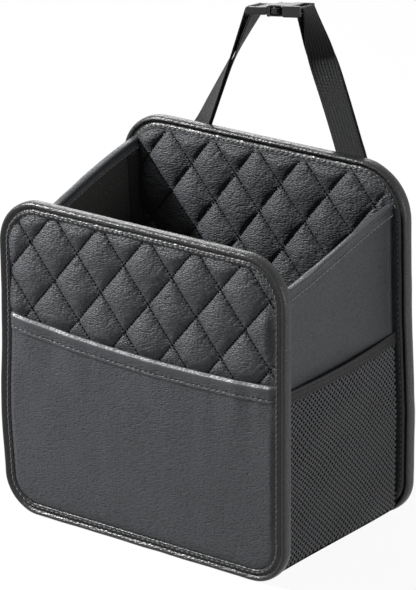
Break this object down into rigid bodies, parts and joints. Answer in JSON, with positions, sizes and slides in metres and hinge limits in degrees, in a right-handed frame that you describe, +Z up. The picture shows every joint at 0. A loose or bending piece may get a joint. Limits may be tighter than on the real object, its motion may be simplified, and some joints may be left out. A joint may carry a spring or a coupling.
{
  "type": "backseat car organizer",
  "caption": "Open-topped quilted box that hangs behind a car seat, with a slip pocket, mesh side pockets, bound panels and a buckled webbing strap.",
  "frame": {"origin": "middle of the overall box, on the floor that the two bound panels stand on", "axes": "X to the right as seen from the front, Y from the front panel to the back panel, Z up"},
  "size_m": [0.24, 0.1845, 0.355],
  "materials": {
    "quilted_leathercloth": "grained, semi-gloss",
    "plain_leathercloth": "grained, semi-gloss",
    "binding_tape": "fine grain, glossy",
    "felt": "flecked felt",
    "corner_tape": "woven tape",
    "board": "hidden stiffener",
    "mesh": "fine knitted mesh",
    "elastic_band": "ribbed elastic",
    "webbing": "ribbed webbing",
    "buckle_plastic": "gloss"
  },
  "bodies": {
    "organizer": {"front_quilted_panel": "quilted_leathercloth", "back_quilted_panel": "quilted_leathercloth", "front_pocket": "plain_leathercloth", "back_outer_panel": "plain_leathercloth", "left_side_panel": "plain_leathercloth", "right_side_panel": "plain_leathercloth", "base_panel": "plain_leathercloth", "front_edge_binding": "binding_tape", "back_edge_binding": "binding_tape", "left_top_binding": "binding_tape", "right_top_binding": "binding_tape", "front_lining": "felt", "left_side_lining": "felt", "right_side_lining": "felt", "base_lining": "felt", "left_front_corner_tape": "corner_tape", "left_back_corner_tape": "corner_tape", "right_front_corner_tape": "corner_tape", "right_back_corner_tape": "corner_tape", "front_board": "board", "back_board": "board", "base_board": "board", "left_mesh_pocket": "mesh", "right_mesh_pocket": "mesh", "left_mesh_band": "elastic_band", "right_mesh_band": "elastic_band", "left_strap": "webbing", "right_strap": "webbing", "buckle_socket": "buckle_plastic"},
    "plug": {"buckle_plug": "buckle_plastic", "buckle_near_prong": "buckle_plastic", "buckle_far_prong": "buckle_plastic"}
  },
  "joints": [
    {"name": "buckle_release", "type": "slide", "parent": "organizer", "child": "plug", "axis": [-0.9585, -0.2785, -0.0611], "range_m": [0, 0.02], "deforming": ["left_strap", "buckle_near_prong", "buckle_far_prong"]}
  ]
}
